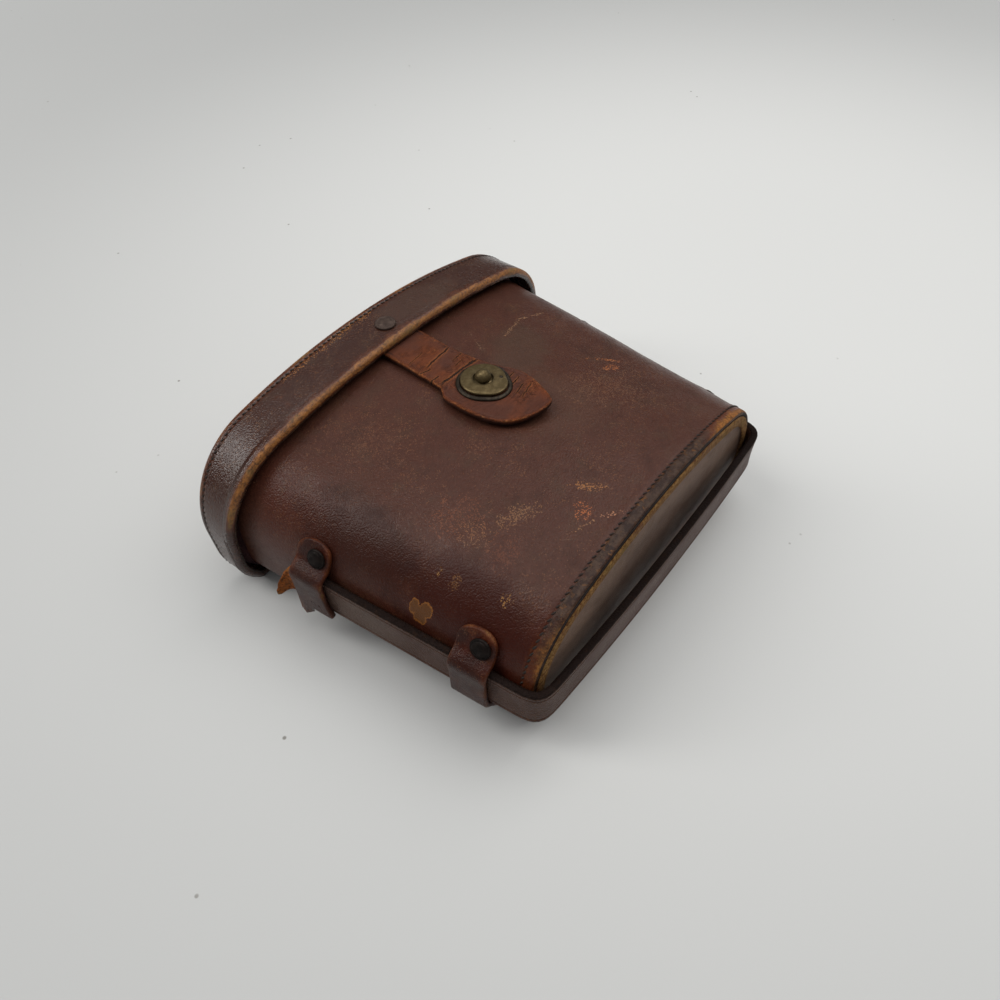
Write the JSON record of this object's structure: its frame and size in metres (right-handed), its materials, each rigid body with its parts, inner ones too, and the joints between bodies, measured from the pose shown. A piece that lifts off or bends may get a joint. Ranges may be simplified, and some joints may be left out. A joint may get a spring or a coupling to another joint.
{
  "type": "binocular hard case",
  "caption": "Stiff leather binocular case with a hinged lid, latch tab with a brass button plate, and a strap held in riveted keepers.",
  "frame": {"origin": "middle of the case's flat back", "axes": "+Z out of the bowed front, +Y towards the lid, +X across the width; the case lies on its back"},
  "size_m": [0.19, 0.1499, 0.0757],
  "materials": {
    "leather_wall": "worn reddish-brown leather, satin",
    "leather_pan": "worn grey-brown leather",
    "leather_strap": "cracked brown leather",
    "leather_hinge": "thinned brown leather",
    "leather_tab": "cracked orange-brown leather",
    "thread": "dark waxed thread",
    "felt": "green felt",
    "lining": "brown cloth",
    "antique_brass": "aged brass",
    "dark_metal": "blackened metal"
  },
  "bodies": {
    "case": {"base_pad": "felt", "base_pan": "leather_pan", "base_seam": "thread", "burr_far_base_back": "dark_metal", "burr_far_base_front": "dark_metal", "burr_far_lid_back": "dark_metal", "burr_far_lid_front": "dark_metal", "burr_near_base_back": "dark_metal", "burr_near_base_front": "dark_metal", "burr_near_lid_front": "dark_metal", "carrying_strap": "leather_strap", "case_wall": "leather_wall", "catch_post": "dark_metal", "hinge_leaf_case": "leather_hinge", "hinge_rivet_case_far": "dark_metal", "hinge_rivet_case_middle": "dark_metal", "hinge_rivet_case_near": "dark_metal", "keeper_far_base": "leather_strap", "keeper_far_lid": "leather_strap", "keeper_near_base": "leather_strap", "keeper_near_lid": "leather_strap", "post_washer": "dark_metal", "rivet_far_base_back": "dark_metal", "rivet_far_base_front": "dark_metal", "rivet_far_lid_back": "dark_metal", "rivet_far_lid_front": "dark_metal", "rivet_near_base_back": "dark_metal", "rivet_near_base_front": "dark_metal", "rivet_near_lid_front": "dark_metal", "wall_lining": "lining"},
    "lid": {"hinge_leaf_lid": "leather_hinge", "hinge_rivet_lid_far": "dark_metal", "hinge_rivet_lid_middle": "dark_metal", "hinge_rivet_lid_near": "dark_metal", "lid_band": "leather_wall", "lid_pad": "felt", "lid_pan": "leather_pan", "lid_seam": "thread", "tab_rivet": "dark_metal", "tab_root": "leather_tab"},
    "latch_tab": {"latch_tab": "leather_tab", "clinch_plate": "dark_metal", "fastener_ring": "dark_metal", "fastener_plate": "antique_brass", "button_spring": "dark_metal"},
    "release_button": {"release_button": "antique_brass"}
  },
  "joints": [
    {"name": "lid_hinge", "type": "hinge", "parent": "case", "child": "lid", "pos_m": [0, 0.06325, 0], "axis": [-1, 0, 0], "range_deg": [0, 175]},
    {"name": "tab_flex", "type": "hinge", "parent": "lid", "child": "latch_tab", "pos_m": [0, 0.05545, 0.0702], "axis": [-1, 0, 0], "range_deg": [0, 95]},
    {"name": "button_press", "type": "slide", "parent": "latch_tab", "child": "release_button", "axis": [0, 0, -1], "range_m": [0, 0.0008], "stiffness_N_per_m": 600, "springref_m": -0.0005, "deforming": ["button_spring"]}
  ]
}
